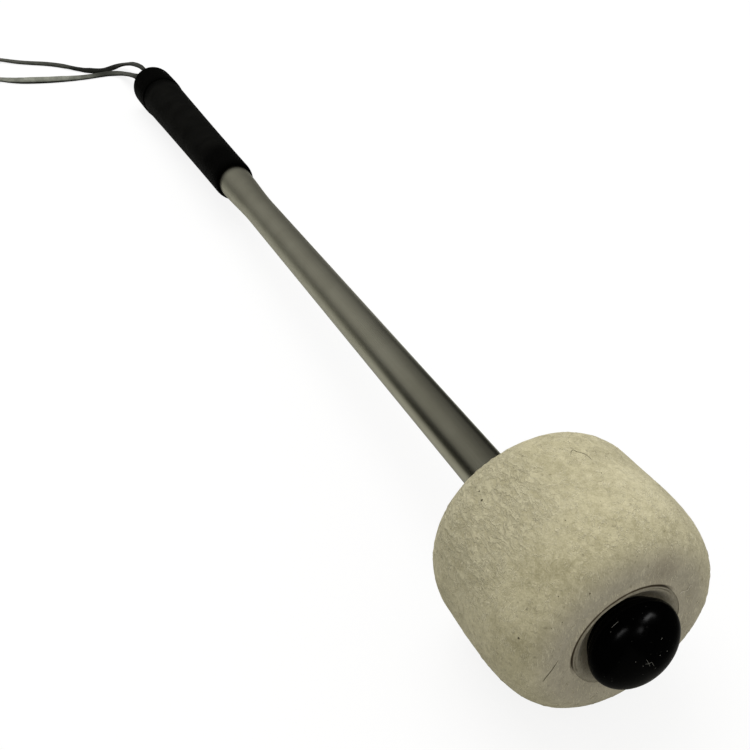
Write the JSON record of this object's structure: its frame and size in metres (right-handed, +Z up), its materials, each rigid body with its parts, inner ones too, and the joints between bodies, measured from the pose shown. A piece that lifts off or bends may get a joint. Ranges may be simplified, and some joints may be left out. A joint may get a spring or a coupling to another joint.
{
  "type": "marching bass drum mallet",
  "caption": "Hard felt barrel head on an aluminium tube shaft, with a screw-on domed nose cap, a flared rubber grip with a butt cap, and a thong wrist loop.",
  "frame": {"origin": "on the surface that the mallet lies on, below the middle of its length from butt to nose, the strap left out", "axes": "+X from the butt to the head along the surface, +Y to the left seen from the butt, +Z up; the mallet's own axis rises 2.26 degrees towards the head"},
  "size_m": [0.4887, 0.1364, 0.0456],
  "materials": {
    "felt": "hard pressed cream felt, mottled, lightly worn",
    "disc": "greyer pressed felt",
    "wood": "turned hardwood",
    "steel": "plain machined",
    "brass": "plain machined",
    "cap": "glossy black with fine scratches",
    "aluminium": "satin drawn tube with a warm grey cast",
    "rubber": "satin black rubber",
    "strap": "dark grey-olive thong"
  },
  "bodies": {
    "mallet": {"shaft_tube": "aluminium", "shaft_insert": "steel", "insert_pin": "steel", "head_stud": "steel", "seat_washer": "steel", "head_core": "wood", "felt_head": "felt", "front_disc": "disc", "grip_sleeve": "rubber", "butt_cap": "rubber", "strap_washer": "steel", "strap_knot": "strap", "wrist_strap": "strap"},
    "washer": {"front_washer": "steel"},
    "cap": {"dome_cap": "cap", "cap_insert": "brass"}
  },
  "joints": [
    {"name": "cap_travel", "type": "slide", "parent": "mallet", "child": "washer", "axis": [0.9992, 0, 0.0395], "range_m": [0, 0.004]},
    {"name": "cap_turn", "type": "hinge", "parent": "washer", "child": "cap", "pos_m": [0.17856, 0, 0.02362], "axis": [0.9992, 0, 0.0395], "range_deg": [0, 1800]}
  ],
  "couplings": [
    {"joint": "cap_turn", "follows": "cap_travel", "rad_per_m": 7853.9}
  ]
}
